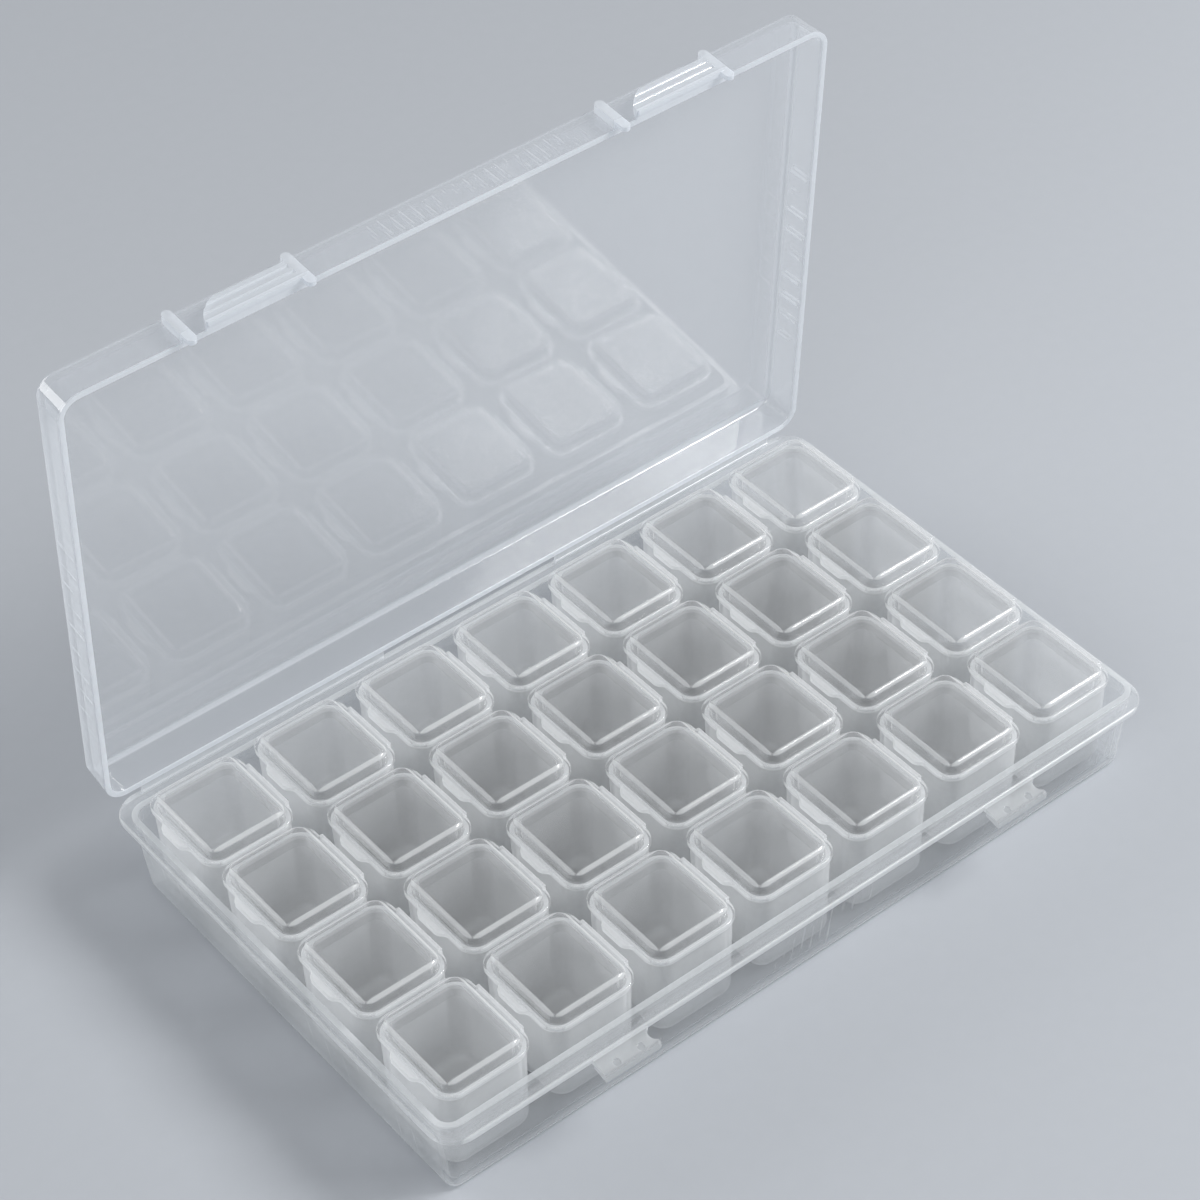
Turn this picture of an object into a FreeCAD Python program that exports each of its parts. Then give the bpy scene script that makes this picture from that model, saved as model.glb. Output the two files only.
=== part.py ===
import FreeCAD, Part
import math
import os
import re
import Sketcher

# Bead storage box: a moulded tray with a hinged lid, filled with small lidded boxes.
# Frame: +X along the length, +Y towards the hinge, +Z up, origin on the floor below the small boxes' middle.

SIZES = (
    ("columns", "7", "small boxes along the case"),
    ("rows", "4", "small boxes across the case"),
    ("case_length", "175", "tray flange, end to end"),
    ("front_reach", "54.5", "tray flange, from the origin to the front"),
    ("rear_reach", "55.5", "tray flange, from the origin to the hinge side"),
    ("flange_top", "18.4", "height of the tray's flange"),
    ("flange_thick", "1.4", "flange thickness"),
    ("flange_corner", "6", "flange corner radius in plan"),
    ("flange_edge", "0.45", "rounding of the flange's rim"),
    ("end_ledge", "1.3", "flange outside the lip at each end"),
    ("front_ledge", "2.45", "flange outside the lip at the front"),
    ("rear_ledge", "4.3", "flange outside the lip at the hinge"),
    ("lip_rise", "1.5", "lip above the flange"),
    ("tray_wall", "1.2", "tray wall thickness"),
    ("tray_floor", "1.2", "tray floor thickness"),
    ("tray_lean", "1.8", "how far each tray wall leans outwards to the lip"),
    ("tray_corner", "4", "tray wall corner radius in plan"),
    ("base_round", "1.5", "rounding of the tray's bottom edge"),
    ("base_round_inside", "1", "rounding inside the tray's bottom edge"),
    ("end_gap", "0.85", "clearance between the small boxes' feet and the tray at the ends"),
    ("front_gap", "1.25", "clearance between the small boxes' feet and the tray at the front"),
    ("rear_gap", "0.4", "clearance between the small boxes' feet and the tray at the rear"),
    ("column_gap", "1.25", "clearance between a small hinge and the next finger pull"),
    ("row_gap", "1", "clearance between the small lids across the case"),
    ("box_height", "20.7", "small box, floor to rim"),
    ("box_wall", "0.9", "small box wall"),
    ("box_floor", "0.9", "small box floor"),
    ("box_lean", "0.5", "how far each small box wall leans outwards"),
    ("box_corner", "4.2", "small box corner radius in plan"),
    ("box_round", "2.6", "rounding of the small box's bottom edge"),
    ("box_round_inside", "1.8", "rounding inside the small box's bottom"),
    ("ledge_reach", "1", "hinge ledge beyond the small box wall"),
    ("ledge_thick", "1", "hinge ledge thickness at its edge"),
    ("cap_thick", "1", "small lid flange thickness"),
    ("cap_overhang", "0.4", "small lid flange beyond the box wall"),
    ("cap_hinge_overhang", "0.2", "small lid flange beyond the wall on the hinge side"),
    ("cap_corner", "4.2", "small lid flange corner radius in plan"),
    ("cap_edge", "0.3", "rounding of the small lid's flange rim"),
    ("cap_rise", "3", "small lid, flange underside to window top"),
    ("cap_shoulder", "1.2", "flange showing round the raised window frame"),
    ("cap_lean", "0.3", "how far the raised frame leans inwards"),
    ("cap_frame_round", "1.1", "rounding of the raised frame's top edge"),
    ("cap_window", "0.8", "window thickness"),
    ("plug_depth", "1.5", "small lid's plug below the flange"),
    ("plug_wall", "0.8", "plug wall"),
    ("plug_gap", "0.3", "clearance between the plug and the box wall"),
    ("plug_lean", "0.25", "how far the plug leans inwards to its end"),
    ("plug_round", "0.6", "rounding inside the window's edge"),
    ("pull_reach", "1.4", "finger pull beyond the flange"),
    ("pull_foot", "10.6", "finger pull width where it leaves the flange"),
    ("pull_tip", "4.4", "straight part of the finger pull's edge"),
    ("cap_pin_reach", "0.5", "small hinge axis beyond the box wall"),
    ("cap_hinge_width", "13.2", "small hinge, along its axis"),
    ("cap_hinge_gap", "0.15", "clearance round the small hinge's bead"),
    ("seat_gap", "0.1", "clearance under what rests: boxes, small lids and the case lid"),
    ("lid_height", "8.4", "case lid, rim to outer face"),
    ("lid_wall", "1.1", "case lid skirt thickness"),
    ("lid_panel", "1.2", "case lid panel thickness"),
    ("lid_lean", "0.5", "how far the skirt leans inwards to the panel"),
    ("lid_corner", "4.6", "case lid corner radius in plan"),
    ("lid_edge", "1", "rounding of the panel's outer edge"),
    ("lid_edge_inside", "0.6", "rounding inside the panel's edge"),
    ("lid_end_gap", "0.5", "clearance between the skirt and the lip at the ends"),
    ("lid_rear_gap", "0.3", "clearance between the skirt and the lip at the rear"),
    ("lid_front_gap", "0.45", "clearance between the skirt and the lip at the front"),
    ("lid_open", "85.2", "angle at which the case lid stands open, in degrees"),
    ("hinge_inset", "1", "hinge axis inside the flange's rear edge"),
    ("pin_radius", "0.45", "bead on the hinge film's edge"),
    ("film_thick", "0.4", "hinge film thickness"),
    ("film_start", "22", "hinge film, from the middle of the case"),
    ("film_inset", "7.5", "hinge film's outer end, from the flange's end"),
    ("film_end_gap", "0.5", "groove beyond each end of the film"),
    ("pin_gap", "0.1", "clearance round the film's bead"),
    ("latch_offset", "48.4", "latch centre from the middle of the case"),
    ("tab_width", "12.8", "tray tab, along the case"),
    ("tab_reach", "4", "tray tab beyond the flange"),
    ("tab_drop", "1.6", "how far the tab falls to its edge"),
    ("tab_thick", "1.4", "tray tab thickness"),
    ("tab_notch", "1.6", "radius of the notch beside the tab"),
    ("tab_notch_bite", "1.1", "how far the notch enters the tab"),
    ("dimple_radius", "0.8", "moulding dimple on the tab"),
    ("dimple_reach", "2.6", "dimple centres beyond the flange"),
    ("dimple_deep", "0.25", "depth of the moulding dimple"),
    ("dimple_pitch", "5.6", "between the two moulding dimples"),
    ("rib_spacing", "25.3", "between the two ribs of a latch"),
    ("rib_width", "2", "latch rib width"),
    ("rib_reach", "2", "latch rib beyond the skirt"),
    ("rib_tip", "2.6", "latch rib beyond the rim"),
    ("rib_top_gap", "1.4", "latch rib's upper end below the panel's face"),
    ("bar_length", "21.2", "snap bar, from its tapered end to the rib"),
    ("bar_high", "5", "snap bar above the rim"),
    ("bar_drop", "0.3", "snap bar below the rim"),
    ("bar_reach", "2.1", "snap bar beyond the skirt"),
    ("bar_taper", "5", "length of the snap bar's tapered end"),
    ("bar_taper_round", "7", "radius of the snap bar's tapered end"),
    ("bar_groove", "0.42", "radius of the grooves along the snap bar"),
    ("cut_over", "1", "overrun of every cut"),
)
bar_groove_shares = (0.36, 0.72)
tolerance = 1e-4

doc = FreeCAD.newDocument("bead_storage_box")
sheet = doc.addObject("Spreadsheet::Sheet", "Sizes")
for row, (alias, number, meaning) in enumerate(SIZES, start=1):
    sheet.set(f"A{row}", alias)
    sheet.set(f"B{row}", number)
    sheet.setAlias(f"B{row}", alias)
    sheet.set(f"C{row}", meaning)
doc.recompute()
ALIASES = {alias for alias, number, meaning in SIZES}

# Places worked out from the sheet
LIP_END = "(case_length / 2 - end_ledge)"
LIP_FRONT = "(front_reach - front_ledge)"
LIP_REAR = "(rear_reach - rear_ledge)"
LIP_TOP = "(flange_top + lip_rise)"
FILM_LENGTH = "(case_length / 2 - film_start - film_inset)"
AXIS_Y = "(rear_reach - hinge_inset)"
AXIS_Z = "(flange_top + seat_gap + film_thick / 2)"
LID_END = f"({LIP_END} + lid_end_gap + lid_wall)"
LID_FRONT = f"({LIP_FRONT} + lid_front_gap + lid_wall + {AXIS_Y})"
LID_REAR = f"({LIP_REAR} + lid_rear_gap + lid_wall - {AXIS_Y})"
LID_RIM = "(-film_thick / 2)"
FLANGE_CLEAR = f"(front_reach + seat_gap + {AXIS_Y})"
FOOT_END = f"({LIP_END} - tray_wall - tray_lean - end_gap)"
FOOT_FRONT = f"({LIP_FRONT} - tray_wall - tray_lean - front_gap)"
FOOT_REAR = f"({LIP_REAR} - tray_wall - tray_lean - rear_gap)"
COLUMN_STEP = "(ledge_reach + cap_overhang + pull_reach + column_gap)"
ROW_STEP = "(2 * cap_overhang + row_gap)"
BOX_LENGTH = f"((2 * ({FOOT_END} + box_lean) - (columns - 1) * {COLUMN_STEP}) / columns)"
BOX_DEPTH = f"(({FOOT_FRONT} + {FOOT_REAR} + 2 * box_lean - (rows - 1) * {ROW_STEP}) / rows)"
COLUMN_PITCH = f"({BOX_LENGTH} + {COLUMN_STEP})"
ROW_PITCH = f"({BOX_DEPTH} + {ROW_STEP})"
GRID_Y = f"(({FOOT_REAR} - {FOOT_FRONT}) / 2)"
BOX_X = f"({BOX_LENGTH} / 2)"
BOX_Y = f"({BOX_DEPTH} / 2)"
CAP_LEFT = f"(-{BOX_X} - cap_overhang)"
CAP_RIGHT = f"({BOX_X} + cap_hinge_overhang)"
CAP_Y = f"({BOX_Y} + cap_overhang)"
CAP_PIN_X = f"({BOX_X} + cap_pin_reach)"
PLUG_X = f"({BOX_X} - box_wall - plug_gap)"
PLUG_Y = f"({BOX_Y} - box_wall - plug_gap)"


def cells(text):
    """The text with each size's name written as its cell of the sheet."""
    return re.sub(r"[a-z_]+", lambda word: f"Sizes.{word[0]}" if word[0] in ALIASES else word[0], text)


def amount(text):
    """The present value of a size or of a sum of sizes."""
    return float(sheet.evalExpression(cells(text)))


def new_body(name):
    body = doc.addObject("PartDesign::Body", name)
    body.Label = name
    return body


def new_sketch(body, name, role="XY_Plane", offset="0"):
    """A sketch on one of the body's own planes, moved along that plane's normal."""
    sketch = body.newObject("Sketcher::SketchObject", name)
    plane = next(item for item in body.Origin.OriginFeatures if item.Role == role)
    sketch.AttachmentSupport = [(plane, "")]
    sketch.MapMode = "FlatFace"
    sketch.setExpression("AttachmentOffset.Base.z", cells(offset))
    return sketch


def bind(sketch, constraint, text):
    index = sketch.addConstraint(constraint)
    sketch.setExpression(f"Constraints[{index}]", cells(text))


def outline(sketch, steps):
    """A closed outline: (x, y) is a line to that point, (x, y, radius, side) an arc that turns
    to the left (side 1) or to the right (side -1)."""
    points = [FreeCAD.Vector(amount(step[0]), amount(step[1]), 0) for step in steps]
    ends = []
    for k, step in enumerate(steps):
        start, end = points[k - 1], points[k]
        if len(step) == 2:
            sketch.addGeometry(Part.LineSegment(start, end), False)
            ends.append((1, 2))
            continue
        radius, side = amount(step[2]), step[3]
        chord = end - start
        rise = math.sqrt(max(radius**2 - (chord.Length / 2) ** 2, 0))
        left = FreeCAD.Vector(-chord.y, chord.x, 0).normalize()
        centre = (start + end) / 2 + left * rise * side
        first, last = (start, end) if side > 0 else (end, start)
        from_angle = math.atan2(first.y - centre.y, first.x - centre.x)
        to_angle = math.atan2(last.y - centre.y, last.x - centre.x)
        circle = Part.Circle(centre, FreeCAD.Vector(0, 0, 1), radius)
        sketch.addGeometry(Part.ArcOfCircle(circle, from_angle, to_angle), False)
        ends.append((1, 2) if side > 0 else (2, 1))
    for k, step in enumerate(steps):
        after = (k + 1) % len(steps)
        sketch.addConstraint(Sketcher.Constraint("Coincident", k, ends[k][1], after, ends[after][0]))
        bind(sketch, Sketcher.Constraint("DistanceX", -1, 1, k, ends[k][1], points[k].x), step[0])
        bind(sketch, Sketcher.Constraint("DistanceY", -1, 1, k, ends[k][1], points[k].y), step[1])
        if len(step) > 2:
            bind(sketch, Sketcher.Constraint("Radius", k, amount(step[2])), step[2])


def circle(sketch, x, y, radius):
    centre = FreeCAD.Vector(amount(x), amount(y), 0)
    index = sketch.addGeometry(Part.Circle(centre, FreeCAD.Vector(0, 0, 1), amount(radius)), False)
    bind(sketch, Sketcher.Constraint("DistanceX", -1, 1, index, 3, centre.x), x)
    bind(sketch, Sketcher.Constraint("DistanceY", -1, 1, index, 3, centre.y), y)
    bind(sketch, Sketcher.Constraint("Radius", index, amount(radius)), radius)


def rounded_rectangle(sketch, left, right, front, rear, corner):
    outline(sketch, [
        (f"{right} - {corner}", front),
        (right, f"{front} + {corner}", corner, 1),
        (right, f"{rear} - {corner}"),
        (f"{right} - {corner}", rear, corner, 1),
        (f"{left} + {corner}", rear),
        (left, f"{rear} - {corner}", corner, 1),
        (left, f"{front} + {corner}"),
        (f"{left} + {corner}", front, corner, 1),
    ])


def loft(body, name, sections, kind="AdditiveLoft"):
    """A straight loft, from the upper of two outlines, each (height, left, right, front, rear, corner)."""
    sketches = []
    for label, (height, *sides) in zip(("_low", "_high"), sections):
        sketch = new_sketch(body, name + label, "XY_Plane", height)
        rounded_rectangle(sketch, *sides)
        sketches.append(sketch)
    low, high = sketches
    feature = body.newObject(f"PartDesign::{kind}", name)
    feature.Profile = high
    feature.Sections = [low]
    feature.Ruled = True
    doc.recompute()
    return feature


def pad(body, sketch, name, length, kind="Pad", back=False):
    """A pad along the sketch's normal, or a pocket against it; back turns either round."""
    before = body.Shape.Volume if body.Tip else 0
    feature = body.newObject(f"PartDesign::{kind}", name)
    feature.Profile = sketch
    feature.setExpression("Length", cells(length))
    feature.Reversed = back
    doc.recompute()
    changed = body.Shape.Volume - before
    if changed == 0 or (changed > 0) != (kind == "Pad"):
        raise RuntimeError(f"{body.Label}: {name} changes the volume by {changed}")
    return feature


def level_edges(body, height):
    """The names of the edges that lie flat at a height."""
    level = amount(height)
    return [
        f"Edge{number}"
        for number, edge in enumerate(body.Shape.Edges, start=1)
        if abs(edge.BoundBox.ZMin - level) < tolerance and abs(edge.BoundBox.ZMax - level) < tolerance
    ]


def fillet(body, name, edges, radius):
    base = body.Tip
    feature = body.newObject("PartDesign::Fillet", name)
    feature.Base = (base, edges)
    feature.setExpression("Radius", cells(radius))
    doc.recompute()
    if feature.Shape.isNull() or not feature.isValid():
        raise RuntimeError(f"{body.Label}: {name} fails on {len(edges)} edges")
    return feature


def inset(sides, by):
    """An outline's left, right, front, rear and corner, drawn in by the same amount all round."""
    left, right, front, rear, corner = sides
    low = [f"({side} + {by})" for side in (left, front)]
    high = [f"({side} - {by})" for side in (right, rear, corner)]
    left, front, right, rear, corner = low + high
    return left, right, front, rear, corner


def make_tray():
    body = new_body("tray")
    mouth = (f"(-{LIP_END})", LIP_END, f"(-{LIP_FRONT})", LIP_REAR, "tray_corner")
    loft(body, "tray_shell", [("0", *inset(mouth, "tray_lean")), (LIP_TOP, *mouth)])
    fillet(body, "tray_base_round", level_edges(body, "0"), "base_round")
    flange = new_sketch(body, "flange_outline", "XY_Plane", "flange_top - flange_thick")
    rounded_rectangle(flange, "(-case_length / 2)", "(case_length / 2)",
                      "(-front_reach)", "rear_reach", "flange_corner")
    pad(body, flange, "flange", "flange_thick")
    rim = [name for name in level_edges(body, "flange_top") + level_edges(body, "flange_top - flange_thick")
           if outside_wall(body, name)]
    fillet(body, "flange_rim", rim, "flange_edge")
    for side, sign in (("left", "-"), ("right", "")):
        add_tab(body, f"{side}_tab", f"({sign}latch_offset)")
    floor = inset(mouth, f"(tray_wall + tray_lean * (1 - tray_floor / {LIP_TOP}))")
    above = inset(mouth, f"(tray_wall - tray_lean * cut_over / {LIP_TOP})")
    loft(body, "tray_hollow", [("tray_floor", *floor), (f"{LIP_TOP} + cut_over", *above)], "SubtractiveLoft")
    fillet(body, "tray_inner_round", level_edges(body, "tray_floor"), "base_round_inside")
    for side, start in (("left", f"-film_start - {FILM_LENGTH}"), ("right", "film_start")):
        groove = new_sketch(body, f"{side}_hinge_groove_end", "YZ_Plane", f"{start} - film_end_gap")
        circle(groove, AXIS_Y, AXIS_Z, "(pin_radius + pin_gap)")
        pad(body, groove, f"{side}_hinge_groove", f"{FILM_LENGTH} + 2 * film_end_gap", "Pocket", True)
    return body


def outside_wall(body, name):
    """Whether an edge runs round the flange's rim, outside the tray's wall."""
    box = body.Shape.getElement(name).BoundBox
    middle = box.Center
    return (
        abs(middle.x) > amount(f"{LIP_END} + end_ledge / 2")
        or middle.y < -amount(f"{LIP_FRONT} + front_ledge / 2")
        or middle.y > amount(f"{LIP_REAR} + rear_ledge / 2")
    )


def add_tab(body, name, middle):
    """A tongue that slopes down from the flange, with a notch on its right and two dimples."""
    front = "(-front_reach)"
    tip = "(-front_reach - tab_reach)"
    root = f"(-{LIP_FRONT} + tray_wall / 2)"
    under = "(flange_top - flange_thick - tab_thick / 2)"
    profile = new_sketch(body, f"{name}_profile", "YZ_Plane", f"{middle} - tab_width / 2")
    outline(profile, [
        (root, "flange_top"),
        (root, under),
        (front, under),
        (tip, "(flange_top - tab_drop - tab_thick)"),
        (tip, "(flange_top - tab_drop)"),
        (f"({front} + front_ledge / 2)", "flange_top"),
    ])
    pad(body, profile, f"{name}_tongue", "tab_width")
    notch = new_sketch(body, f"{name}_notch_outline", "XY_Plane", "flange_top + cut_over")
    circle(notch, f"{middle} + tab_width / 2 + tab_notch - tab_notch_bite",
           f"({front} - tab_notch)", "tab_notch")
    pad(body, notch, f"{name}_notch", f"{LIP_TOP}", "Pocket")
    middle_y = f"({front} - dimple_reach)"
    surface = "(flange_top - tab_drop * (front_ledge / 2 + dimple_reach) / (front_ledge / 2 + tab_reach))"
    dimples = new_sketch(body, f"{name}_dimple_outline", "XY_Plane", "flange_top + cut_over")
    circle(dimples, f"{middle} - dimple_pitch / 2", middle_y, "dimple_radius")
    circle(dimples, f"{middle} + dimple_pitch / 2", middle_y, "dimple_radius")
    pad(body, dimples, f"{name}_dimples", f"flange_top + cut_over - {surface} + dimple_deep", "Pocket")


def make_lid():
    """The case lid, closed about its hinge axis, then turned open."""
    body = new_body("lid")
    top = f"({LID_RIM} + lid_height)"
    rim = (f"(-{LID_END})", LID_END, f"(-{LID_FRONT})", LID_REAR, "lid_corner")
    loft(body, "lid_shell", [(LID_RIM, *rim), (top, *inset(rim, "lid_lean"))])
    fillet(body, "lid_panel_round", level_edges(body, top), "lid_edge")
    for side, sign in (("left", "-"), ("right", "")):
        add_latch(body, f"{side}_latch", f"({sign}latch_offset)")
    below = inset(rim, "(lid_wall - lid_lean * cut_over / lid_height)")
    ceiling = inset(rim, "(lid_wall + lid_lean * (1 - lid_panel / lid_height))")
    loft(body, "lid_hollow", [(f"{LID_RIM} - cut_over", *below), (f"{top} - lid_panel", *ceiling)],
         "SubtractiveLoft")
    fillet(body, "lid_inner_round", level_edges(body, f"{top} - lid_panel"), "lid_edge_inside")
    return body


def add_latch(body, name, middle):
    """Two cross ribs that pass the rim in front of the flange, and a grooved snap bar between them."""
    top = f"({LID_RIM} + lid_height)"
    face = f"({LID_FRONT} + rib_reach)"
    half = "(rib_width / 2)"
    bottom = f"({LID_RIM} - rib_tip)"
    for end, sign in (("first", "-"), ("second", "+")):
        x = f"({middle} {sign} rib_spacing / 2)"
        rib = new_sketch(body, f"{name}_{end}_rib_outline", "XZ_Plane", face)
        outline(rib, [
            (f"{x} - {half}", LID_RIM),
            (f"{x} + {half}", LID_RIM),
            (f"{x} + {half}", f"{top} - rib_top_gap - {half}"),
            (x, f"{top} - rib_top_gap", half, 1),
            (f"{x} - {half}", f"{top} - rib_top_gap - {half}", half, 1),
        ])
        pad(body, rib, f"{name}_{end}_rib", "rib_reach + lid_wall / 2", "Pad", True)
        tip = new_sketch(body, f"{name}_{end}_tip_outline", "XZ_Plane", face)
        outline(tip, [
            (f"{x} - {half}", f"{bottom} + {half}"),
            (x, bottom, half, 1),
            (f"{x} + {half}", f"{bottom} + {half}", half, 1),
            (f"{x} + {half}", f"{LID_RIM} + {half}"),
            (f"{x} - {half}", f"{LID_RIM} + {half}"),
        ])
        pad(body, tip, f"{name}_{end}_tip", f"{face} - {FLANGE_CLEAR}", "Pad", True)
    left = f"({middle} + rib_spacing / 2 - bar_length)"
    right = f"({middle} + rib_spacing / 2)"
    crest = f"({LID_RIM} + bar_high)"
    front = f"({LID_FRONT} + bar_reach)"
    bar = new_sketch(body, f"{name}_bar_outline", "XZ_Plane", front)
    outline(bar, [
        (right, LID_RIM),
        (right, crest),
        (f"({left} + bar_taper)", crest),
        (left, LID_RIM, "bar_taper_round", 1),
    ])
    pad(body, bar, f"{name}_bar", "bar_reach + lid_wall / 2", "Pad", True)
    edge = new_sketch(body, f"{name}_bar_edge_outline", "XZ_Plane", front)
    outline(edge, [
        (f"({left} + bar_drop)", f"({LID_RIM} - bar_drop)"),
        (right, f"({LID_RIM} - bar_drop)"),
        (right, f"({LID_RIM} + bar_drop)"),
        (f"({left} + bar_drop)", f"({LID_RIM} + bar_drop)"),
    ])
    pad(body, edge, f"{name}_bar_edge", f"{front} - {FLANGE_CLEAR}", "Pad", True)
    for number, share in enumerate(bar_groove_shares, start=1):
        groove = new_sketch(body, f"{name}_groove_{number}_end", "YZ_Plane", f"{left} - cut_over")
        circle(groove, f"(-{front})", f"({LID_RIM} + bar_high * {share})", "bar_groove")
        pad(body, groove, f"{name}_groove_{number}", "bar_length - rib_width / 2 + cut_over", "Pocket", True)


def make_film(name, start):
    """A hinge film: a leaf that leaves the lid's rim and a bead along the hinge axis."""
    body = new_body(name)
    leaf = new_sketch(body, f"{name}_leaf_end", "YZ_Plane", start)
    outline(leaf, [
        (LID_REAR, LID_RIM),
        ("0", LID_RIM),
        ("0", f"(-{LID_RIM})"),
        (LID_REAR, f"(-{LID_RIM})"),
    ])
    pad(body, leaf, f"{name}_leaf", FILM_LENGTH)
    bead = new_sketch(body, f"{name}_bead_end", "YZ_Plane", start)
    circle(bead, "0", "0", "pin_radius")
    pad(body, bead, f"{name}_bead", FILM_LENGTH)
    return body


def swing_open(body):
    """Turns a closed piece of the lid about the hinge axis to where it stands open."""
    turn = FreeCAD.Rotation(FreeCAD.Vector(-1, 0, 0), amount("lid_open"))
    body.Placement = FreeCAD.Placement(FreeCAD.Vector(), turn)
    body.setExpression("Placement.Rotation.Angle", cells("lid_open"))
    body.setExpression("Placement.Base.y", cells(AXIS_Y))
    body.setExpression("Placement.Base.z", cells(AXIS_Z))


def make_box():
    """One small box about the middle of its cell, standing on its own floor."""
    body = new_body("box_pattern")
    mouth = (f"(-{BOX_X})", BOX_X, f"(-{BOX_Y})", BOX_Y, "box_corner")
    loft(body, "box_shell", [("0", *inset(mouth, "box_lean")), ("box_height", *mouth)])
    fillet(body, "box_base_round", level_edges(body, "0"), "box_round")
    root = f"({BOX_X} - box_wall / 2)"
    edge = f"({BOX_X} + ledge_reach)"
    ledge = new_sketch(body, "ledge_profile", "XZ_Plane", "-cap_hinge_width / 2")
    outline(ledge, [
        (root, "(box_height - ledge_thick - ledge_reach)"),
        (edge, "(box_height - ledge_thick)"),
        (edge, "box_height"),
        (root, "box_height"),
    ])
    pad(body, ledge, "ledge", "cap_hinge_width")
    floor = inset(mouth, "(box_wall + box_lean * (1 - box_floor / box_height))")
    above = inset(mouth, "(box_wall - box_lean * cut_over / box_height)")
    loft(body, "box_hollow", [("box_floor", *floor), ("box_height + cut_over", *above)], "SubtractiveLoft")
    fillet(body, "box_inner_round", level_edges(body, "box_floor"), "box_round_inside")
    groove = new_sketch(body, "box_groove_end", "XZ_Plane", "-cap_hinge_width / 2 - cut_over")
    circle(groove, CAP_PIN_X, "(box_height + seat_gap + cap_thick / 2)", "(cap_thick / 2 + cap_hinge_gap)")
    pad(body, groove, "box_groove", "cap_hinge_width + 2 * cut_over", "Pocket", True)
    return body


def make_cap():
    """One small lid about the middle of its cell, its flange's underside at zero height."""
    body = new_body("cap_pattern")
    rim = (CAP_LEFT, CAP_RIGHT, f"(-{CAP_Y})", CAP_Y, "cap_corner")
    flange = new_sketch(body, "cap_flange_outline")
    rounded_rectangle(flange, *rim)
    pad(body, flange, "cap_flange", "cap_thick")
    add_pull(body)
    fillet(body, "cap_flange_rim", level_edges(body, "cap_thick"), "cap_edge")
    leaf = new_sketch(body, "cap_leaf_end", "XZ_Plane", "-cap_hinge_width / 2")
    outline(leaf, [
        (f"({CAP_RIGHT} - cap_shoulder)", "0"),
        (CAP_PIN_X, "0"),
        (CAP_PIN_X, "cap_thick"),
        (f"({CAP_RIGHT} - cap_shoulder)", "cap_thick"),
    ])
    pad(body, leaf, "cap_leaf", "cap_hinge_width")
    bead = new_sketch(body, "cap_bead_end", "XZ_Plane", "-cap_hinge_width / 2")
    circle(bead, CAP_PIN_X, "(cap_thick / 2)", "(cap_thick / 2)")
    pad(body, bead, "cap_bead", "cap_hinge_width")
    crown = inset(rim, "(cap_shoulder + cap_lean)")
    loft(body, "cap_frame", [("cap_thick / 2", *inset(rim, "cap_shoulder")), ("cap_rise", *crown)])
    fillet(body, "cap_frame_rounding", level_edges(body, "cap_rise"), "cap_frame_round")
    collar = (f"(-{PLUG_X})", PLUG_X, f"(-{PLUG_Y})", PLUG_Y, "(box_corner - box_wall - plug_gap)")
    loft(body, "cap_plug", [("-plug_depth", *inset(collar, "plug_lean")), ("cap_thick / 2", *collar)])
    hollow = new_sketch(body, "cap_hollow_outline", "XY_Plane", "-plug_depth - cut_over")
    rounded_rectangle(hollow, *inset(collar, "(plug_lean + plug_wall)"))
    pad(body, hollow, "cap_hollow", "plug_depth + cut_over + cap_rise - cap_window", "Pocket", True)
    fillet(body, "cap_inner_round", level_edges(body, "cap_rise - cap_window"), "plug_round")
    return body


def add_pull(body):
    """The finger pull: the flange bulges outwards in two S-curves, each of two equal arcs."""
    tip = f"({CAP_LEFT} - pull_reach)"
    middle = f"({CAP_LEFT} - pull_reach / 2)"
    root = f"({CAP_LEFT} + cap_shoulder / 2)"
    foot = "(pull_foot / 2)"
    half = "((pull_foot + pull_tip) / 4)"
    flat = "(pull_tip / 2)"
    run = "((pull_foot - pull_tip) / 2)"
    bend = f"(({run} ^ 2 + pull_reach ^ 2) / (4 * pull_reach))"
    pull = new_sketch(body, "pull_outline")
    outline(pull, [
        (root, f"(-{foot})"),
        (root, foot),
        (CAP_LEFT, foot),
        (middle, half, bend, -1),
        (tip, flat, bend, 1),
        (tip, f"(-{flat})"),
        (middle, f"(-{half})", bend, 1),
        (CAP_LEFT, f"(-{foot})", bend, -1),
    ])
    pad(body, pull, "pull", "cap_thick")


def place_copies(pattern, name, height):
    """A link to the pattern piece for every cell, named by row from the front and column from the left."""
    copies = []
    for row in range(int(amount("rows"))):
        for column in range(int(amount("columns"))):
            copy = doc.addObject("App::Link", f"{name}_row{row + 1}_col{column + 1}")
            copy.LinkedObject = pattern
            copy.Label = copy.Name
            across = f"({column} - (columns - 1) / 2) * {COLUMN_PITCH}"
            along = f"({row} - (rows - 1) / 2) * {ROW_PITCH} + {GRID_Y}"
            copy.setExpression("Placement.Base.x", cells(across))
            copy.setExpression("Placement.Base.y", cells(along))
            copy.setExpression("Placement.Base.z", cells(height))
            copies.append(copy)
    return copies


tray = make_tray()
lid = make_lid()
films = [
    make_film("hinge_film_left", f"-film_start - {FILM_LENGTH}"),
    make_film("hinge_film_right", "film_start"),
]
for piece in [lid, *films]:
    swing_open(piece)
boxes = place_copies(make_box(), "bead_box", "tray_floor + seat_gap")
caps = place_copies(make_cap(), "bead_box_lid", "tray_floor + seat_gap + box_height + seat_gap")
doc.recompute()

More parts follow.
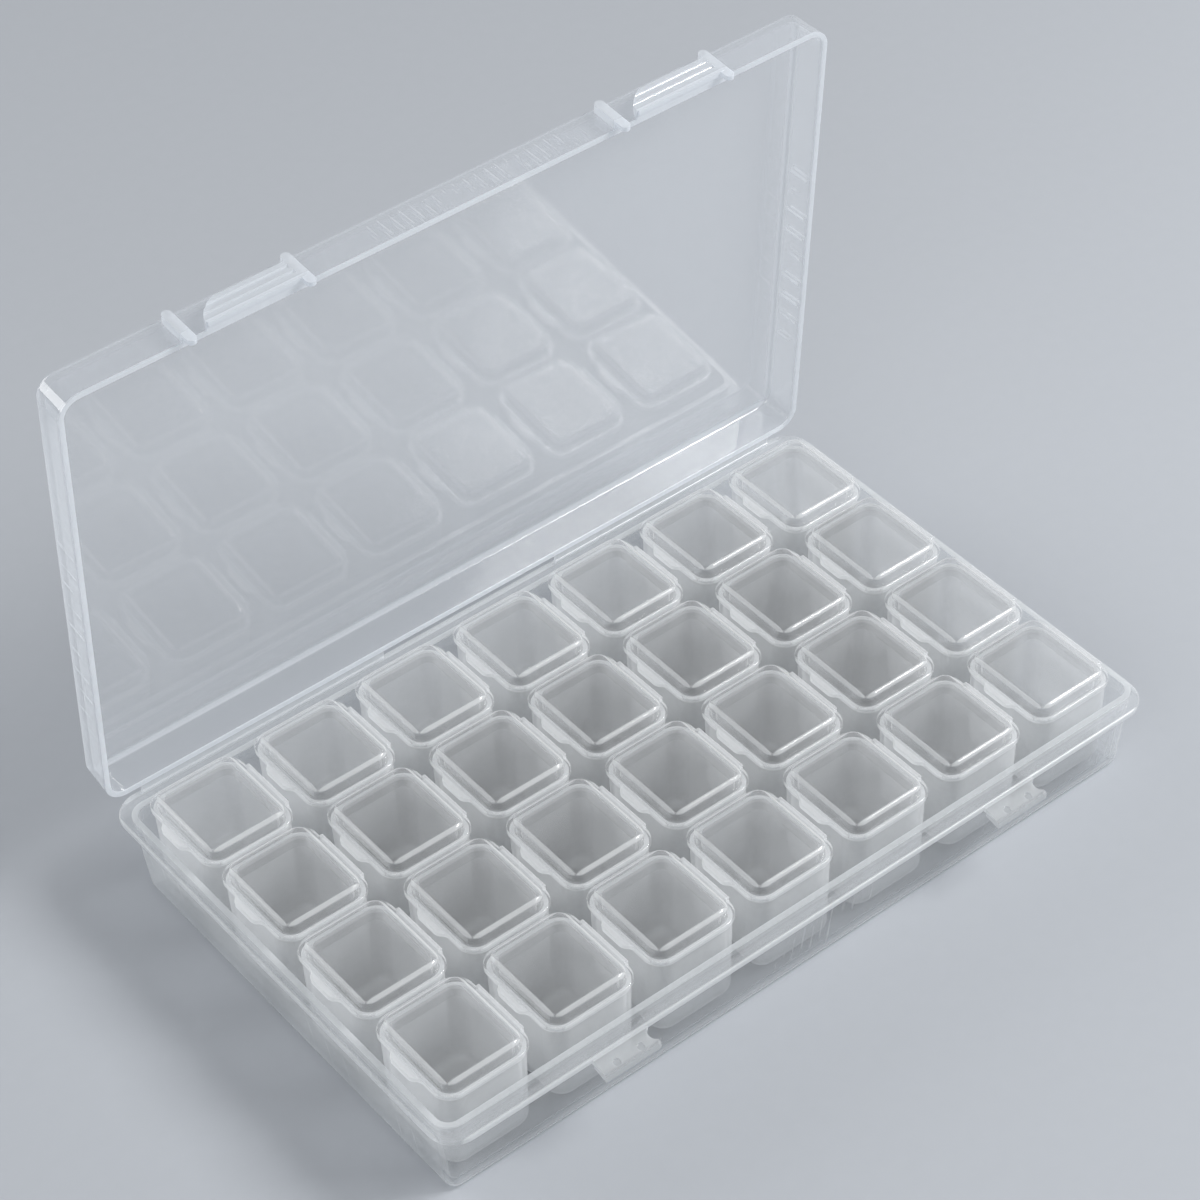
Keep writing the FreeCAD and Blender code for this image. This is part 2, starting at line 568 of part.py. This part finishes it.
failed = [item.Name for item in doc.Objects if {"Invalid", "Error"} & set(item.State)]
if failed:
    raise RuntimeError(f"failed: {failed}")
pieces = [tray, lid, *films, *boxes, *caps]
for piece in pieces:
    if piece.Shape.isNull() or not piece.Shape.isValid() or len(piece.Shape.Solids) != 1:
        raise RuntimeError(f"{piece.Label} is not one valid solid")
os.makedirs("parts", exist_ok=True)
for piece in pieces:
    piece.Shape.exportStep(f"parts/{piece.Label}.step")
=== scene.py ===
import math

import bmesh
import bpy
from mathutils import Matrix, Vector

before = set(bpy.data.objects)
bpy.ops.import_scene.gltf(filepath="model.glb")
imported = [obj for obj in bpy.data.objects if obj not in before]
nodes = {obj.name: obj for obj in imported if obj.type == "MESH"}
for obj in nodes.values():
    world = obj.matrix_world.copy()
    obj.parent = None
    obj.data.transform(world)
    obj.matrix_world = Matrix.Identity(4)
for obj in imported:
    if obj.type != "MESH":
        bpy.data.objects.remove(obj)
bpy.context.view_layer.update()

# Sizes of the moulding, in millimetres
COLUMNS, ROWS = 7, 4
COLUMN_PITCH, ROW_PITCH = 24.25, 24.6
HINGE_Y, HINGE_Z = 54.5, 18.7
LID_OPEN = math.radians(85.2)
LID_END, LID_FRONT, LID_REAR = 87.8, 108.1, 1.9
LID_CEILING = 7.0
FLANGE_END, FLANGE_FRONT, FLANGE_REAR = 87.5, -54.5, 55.5
FLANGE_UNDER = 17.0
LIP_END, LIP_FRONT, LIP_REAR = 86.2, -52.05, 51.2
LIP_TOP = 19.9
TRAY_LEAN = 1.8
BOX_FOOT, BOX_RIM = 1.3, 22.0
CAP_UNDER, CAP_FLANGE_TOP, CAP_TOP = 22.1, 23.1, 25.1
CROWN_MIDDLE = -0.1
CROWN_X, CROWN_Y = 8.9, 10.3
PULL_X = -10.6

# The plastic: what it lets through, how milky it gets and how it shines
CLEAR_COLOUR = (0.982, 0.984, 0.987)
LEAST_COVER, MOST_COVER = 0.02, 0.97
EDGE_MILK = 0.75
MARK_MILK = 0.4
GLOW_SHARE = 0.5
DARKER_SHARE = 0.93
GRAZING_MIRROR = 0.7
REFRACTION = 1.49


class Wire:
    """A node's output, whose sums, products and the like become Math nodes."""

    def __init__(self, tree, socket=None):
        self.tree = tree
        self.socket = socket

    def make(self, kind, inputs=None, output=0, **settings):
        """Any node of the same tree, with its inputs by name or number, as the wire of one output."""
        node = self.tree.nodes.new("ShaderNode" + kind)
        for name, value in settings.items():
            setattr(node, name, value)
        for name, value in (inputs or {}).items():
            if isinstance(value, Wire):
                self.tree.links.new(value.socket, node.inputs[name])
            else:
                node.inputs[name].default_value = value
        return Wire(self.tree, node.outputs[output]) if node.outputs else None

    def math(self, operation, *others, first=None):
        values = dict(enumerate([self if first is None else first, *others]))
        return self.make("Math", values, operation=operation)

    def __add__(self, other):
        return self.math("ADD", other)

    def __sub__(self, other):
        return self.math("SUBTRACT", other)

    def __mul__(self, other):
        return self.math("MULTIPLY", other)

    def __truediv__(self, other):
        return self.math("DIVIDE", other)

    def __pow__(self, other):
        return self.math("POWER", other)

    def __rsub__(self, other):
        return self.math("SUBTRACT", self, first=other)

    def __rtruediv__(self, other):
        return self.math("DIVIDE", self, first=other)

    __radd__ = __add__
    __rmul__ = __mul__

    def size(self):
        return self.math("ABSOLUTE")

    def at_least(self, other):
        return self.math("MAXIMUM", other)

    def at_most(self, other):
        return self.math("MINIMUM", other)

    def ramp(self, low, high):
        """0 up to low, 1 from high, with a smooth rise between."""
        return self.make("MapRange", {"Value": self, "From Min": low, "From Max": high},
                         interpolation_type="SMOOTHSTEP")

    def band(self, low, high, soft):
        """1 between low and high, 0 outside."""
        return self.ramp(low - soft, low + soft) * (1 - self.ramp(high - soft, high + soft))

    def colour(self, first, second):
        """The first colour where this is 0, the second where it is 1."""
        colours = {"Factor": self, 6: (*first, 1), 7: (*second, 1)}
        return self.make("Mix", colours, output=2, data_type="RGBA")


def new_material(name):
    """An empty material, and the wire of its object coordinates."""
    material = bpy.data.materials.new(name)
    material.use_nodes = True
    material.node_tree.nodes.clear()
    return material, Wire(material.node_tree).make("TexCoord", output="Object")


def millimetres(place):
    split = place.make("SeparateXYZ", {"Vector": place}).socket.node
    return [Wire(place.tree, output) * 1000 for output in split.outputs]


def noise(place, scale, detail=3.0, stretch=(1, 1, 1)):
    spread = place.make("Mapping", {"Vector": place, "Scale": stretch})
    return place.make("TexNoise", {"Vector": spread, "Scale": scale, "Detail": detail})


def darker(colour, share):
    return [part * share for part in colour]


def plastic(name, tint, milk, gloss_roughness, marks=None, sheen=0.035):
    """Translucent moulded plastic: clear where seen square on, milky at a slant and where milk says."""
    material, place = new_material(name)
    x, y, z = millimetres(place)
    facing = place.make("LayerWeight", {"Blend": 0.5}, output="Facing")
    flow = noise(place, 55, 4, (0.5, 0.5, 1.6))
    specks = noise(place, 900, 2)
    cover = milk(place, x, y, z) * (0.82 + flow * 0.36) + (specks - 0.5) * 0.04
    cover = cover + (1 - cover) * facing ** 3 * EDGE_MILK
    cover = cover.at_least(LEAST_COVER).at_most(MOST_COVER)
    ripple = flow * 0.4
    if marks:
        lines = marks(place, x, y, z)
        cover = (cover + lines * MARK_MILK).at_most(MOST_COVER)
        ripple = ripple + lines * 0.8
    bump = place.make("Bump", {"Height": ripple, "Strength": 0.12, "Distance": 0.0004})
    body = place.make("BsdfPrincipled", {
        "Base Color": flow.colour(tint, darker(tint, DARKER_SHARE)),
        "Roughness": 0.34 + flow * 0.12,
        "IOR": REFRACTION,
        "Normal": bump,
    })
    glow = place.make("BsdfTranslucent", {"Color": (*tint, 1), "Normal": bump})
    milky = place.make("MixShader", {0: GLOW_SHARE, 1: body, 2: glow})
    clear = place.make("BsdfTransparent", {"Color": (*CLEAR_COLOUR, 1)})
    wall = place.make("MixShader", {0: cover, 1: clear, 2: milky})
    front = 1 - place.make("NewGeometry", output="Backfacing")
    mirror = (sheen + facing ** 5 * GRAZING_MIRROR) * front
    shine = place.make("BsdfGlossy", {
        "Color": (1, 1, 1, 1),
        "Roughness": gloss_roughness,
        "Normal": bump,
    })
    surface = place.make("MixShader", {0: mirror, 1: wall, 2: shine})
    place.make("OutputMaterial", {"Surface": surface})
    return material


def lid_place(y, z):
    """Depth along the lid from its hinge, and height above the hinge towards its panel."""
    back, up = y - HINGE_Y, z - HINGE_Z
    depth = up * math.sin(LID_OPEN) - back * math.cos(LID_OPEN)
    height = back * math.sin(LID_OPEN) + up * math.cos(LID_OPEN)
    return depth, height


def lid_milk(place, x, y, z):
    """White at the open rim, round the panel's edge and on the latches."""
    depth, height = lid_place(y, z)
    rim = 1 - height.ramp(-0.1, 0.35)
    border = (LID_END - x.size()).at_most(LID_FRONT - depth).at_most(depth - LID_REAR)
    corner = height.ramp(LID_CEILING + 0.2, LID_CEILING + 0.9) * (1 - border.ramp(1.1, 2.2))
    latch = depth.ramp(LID_FRONT + 0.02, LID_FRONT + 0.2).at_least(1 - height.ramp(-0.9, -0.5))
    return 0.17 + rim * 0.75 + corner * 0.6 + latch * 0.45


def lid_marks(place, x, y, z):
    """Fine ejection lines across the front skirt and the two side skirts."""
    depth, height = lid_place(y, z)
    along = x.band(-19, 31, 6) * depth.ramp(LID_FRONT - 1.6, LID_FRONT - 1.2)
    across = depth.band(25, 70, 8) * x.size().ramp(LID_END - 1.7, LID_END - 1.3)
    beside, upwards = noise(place, 60, stretch=(1, 0, 0)), noise(place, 40, stretch=(0, 0, 1))
    lines = (x * 2.6 + beside * 9).math("SINE").ramp(0.72, 1.0) * along
    lines = lines + (depth * 1.1 + upwards * 12).math("SINE").ramp(0.8, 1.0) * across
    return lines * height.band(1.0, LID_CEILING - 0.8, 0.6) * noise(place, 160).ramp(0.35, 0.6)


def tray_milk(place, x, y, z):
    """White along the flange's edge, the lip and the bottom edge, and hazy on the flange and the tabs."""
    rim = z.ramp(FLANGE_UNDER - 0.1, FLANGE_UNDER + 0.1)
    lip = z.ramp(LIP_TOP - 0.4, LIP_TOP - 0.1)
    border = (FLANGE_END - x.size()).at_most(y - FLANGE_FRONT).at_most(FLANGE_REAR - y)
    edge = rim * border.band(-0.3, 0.5, 0.2)
    tab = 1 - border.ramp(-0.6, -0.2)
    inside = (LIP_END - x.size()).at_most(y - LIP_FRONT).at_most(LIP_REAR - y) - TRAY_LEAN
    foot = (1 - z.ramp(0.5, 1.9)) * (1 - inside.ramp(0.8, 2.2))
    return 0.09 + rim * 0.14 + lip * 0.35 + edge * 0.45 + tab * 0.15 + foot * 0.5


def tray_marks(place, x, y, z):
    """Faint upright drag lines on the tray's walls."""
    spacing = noise(place, 30, stretch=(1, 1, 0))
    lines = (x * 1.3 + y * 1.1 + spacing * 14).math("SINE").ramp(0.86, 1.0)
    return lines * z.band(3, 15, 2) * noise(place, 70).ramp(0.5, 0.75) * 0.6


def cell_place(x, y):
    """Place within a small box's own cell, from the cell's middle."""
    across = ((x / COLUMN_PITCH + COLUMNS / 2).math("FRACT") - 0.5) * COLUMN_PITCH
    along = ((y / ROW_PITCH + ROWS / 2).math("FRACT") - 0.5) * ROW_PITCH
    return across, along


def box_milk(place, x, y, z):
    """Milkier at the rim and the rounded bottom."""
    foot = 1 - z.ramp(BOX_FOOT + 0.6, BOX_FOOT + 3.2)
    rim = z.ramp(BOX_RIM - 1.2, BOX_RIM - 0.5)
    return 0.34 + foot * 0.15 + rim * 0.35


def cap_milk(place, x, y, z):
    """A clear window, with white along the raised frame and the flange's edge, partly the plastic's haze
    and partly a painted highlight, and white on the finger pull.
    """
    across, along = cell_place(x, y)
    beyond = ((across - CROWN_MIDDLE).size() - CROWN_X).at_least(along.size() - CROWN_Y)
    # Painted highlight, partly haze: a milky band along the raised frame's rounded top edge
    frame_haze_and_highlight = beyond.band(-0.75, 0.1, 0.2) * z.ramp(CAP_TOP - 1.0, CAP_TOP - 0.5)
    # Painted highlight, partly haze: a milky band along the flange's outer edge
    flange = beyond.ramp(0.9, 1.4) * z.band(CAP_UNDER, CAP_FLANGE_TOP, 0.15)
    pull = 1 - across.ramp(PULL_X - 0.2, PULL_X + 0.2)
    return 0.1 + frame_haze_and_highlight * 0.5 + flange * 0.45 + pull * 0.2


def film_milk(place, x, y, z):
    return 0.3 + noise(place, 200) * 0.2


# The first name that a node's own name starts with gives its plastic
MATERIALS = {
    "bead_box_lid": plastic("box_lid_plastic", (0.95, 0.96, 0.965), cap_milk, 0.08),
    "bead_box": plastic("box_plastic", (0.95, 0.96, 0.965), box_milk, 0.16),
    "hinge_film": plastic("film_plastic", (0.88, 0.90, 0.92), film_milk, 0.2),
    "tray": plastic("tray_plastic", (0.90, 0.92, 0.93), tray_milk, 0.18, tray_marks),
    "lid": plastic("lid_plastic", (0.86, 0.89, 0.925), lid_milk, 0.05, lid_marks, 0.09),
}
for name, piece in nodes.items():
    kind = next(kind for kind in MATERIALS if name.startswith(kind))
    piece.data.materials.clear()
    piece.data.materials.append(MATERIALS[kind])


def new_object(name, content):
    item = bpy.data.objects.new(name, content)
    bpy.context.scene.collection.objects.link(item)
    return item


# Floor, in metres
FLOOR_HALF, FLOOR_DROP = 3, 0.0002
FLOOR_COLOUR = (0.41, 0.43, 0.46)


def paper(name, tint):
    material, place = new_material(name)
    grain = noise(place, 260, 5)
    sheet = place.make("BsdfPrincipled", {
        "Base Color": grain.colour(tint, darker(tint, 0.97)),
        "Roughness": 0.75 + grain * 0.1,
        "Normal": place.make("Bump", {"Height": grain, "Strength": 0.05, "Distance": 0.0003}),
    })
    place.make("OutputMaterial", {"Surface": sheet})
    return material


floor_mesh = bpy.data.meshes.new("floor")
shape = bmesh.new()
bmesh.ops.create_grid(shape, x_segments=1, y_segments=1, size=FLOOR_HALF)
bmesh.ops.translate(shape, verts=shape.verts, vec=(0, 0, -FLOOR_DROP))
shape.to_mesh(floor_mesh)
shape.free()
floor_mesh.materials.append(paper("floor_paper", FLOOR_COLOUR))
floor = new_object("floor", floor_mesh)


# Light, in metres and watts
def area_light(name, place, target, size, power):
    lamp = bpy.data.lights.new(name, "AREA")
    lamp.shape = "RECTANGLE"
    lamp.size, lamp.size_y = size
    lamp.energy = power
    aim = (Vector(target) - Vector(place)).to_track_quat("-Z", "Y")
    new_object(name, lamp).matrix_world = Matrix.Translation(place) @ aim.to_matrix().to_4x4()


area_light("key_light", (0.65, -0.4, 0.75), (0, 0, 0.03), (0.4, 0.4), 11)
area_light("fill_light", (-0.7, -0.5, 0.6), (0, 0, 0.03), (0.8, 0.6), 3.2)
area_light("back_light", (-0.5, 0.85, 0.4), (0, 0, 0.06), (0.8, 0.5), 4)

world = bpy.data.worlds.new("room")
bpy.context.scene.world = world
world.use_nodes = True
sky = next(node for node in world.node_tree.nodes if node.type == "BACKGROUND")
sky.inputs["Color"].default_value = (0.80, 0.83, 0.87, 1)
sky.inputs["Strength"].default_value = 0.36

# Camera, fitted to the outline and the grid of small lids: pixels, degrees and millimetres
PICTURE, FOCAL, CENTRE_U, CENTRE_V = 1200, 3485.837, 682.631, 649.653
AZIMUTH, ELEVATION, ROLL = (math.radians(angle) for angle in (38.802, 43.815, -1.196))
OFFSET_RIGHT, OFFSET_UP, DISTANCE = -8.556, -33.780, 696.664
level = Vector((math.cos(AZIMUTH), -math.sin(AZIMUTH), 0))
away = Vector((-math.sin(AZIMUTH), -math.cos(AZIMUTH), 0))
back = away * math.cos(ELEVATION) + Vector((0, 0, math.sin(ELEVATION)))
upright = back.cross(level)
right = level * math.cos(ROLL) + upright * math.sin(ROLL)
up = upright * math.cos(ROLL) - level * math.sin(ROLL)
eye = (back * DISTANCE - right * OFFSET_RIGHT - up * OFFSET_UP) / 1000
lens = bpy.data.cameras.new("camera")
lens.sensor_width = 36
lens.lens = FOCAL * lens.sensor_width / PICTURE
lens.shift_x = 0.5 - CENTRE_U / PICTURE
lens.shift_y = CENTRE_V / PICTURE - 0.5
lens.clip_start, lens.clip_end = 0.01, 20
camera = new_object("camera", lens)
camera.matrix_world = Matrix.Translation(eye) @ Matrix((right, up, back)).transposed().to_4x4()
bpy.context.scene.camera = camera
bpy.context.scene.view_settings.view_transform = "Standard"
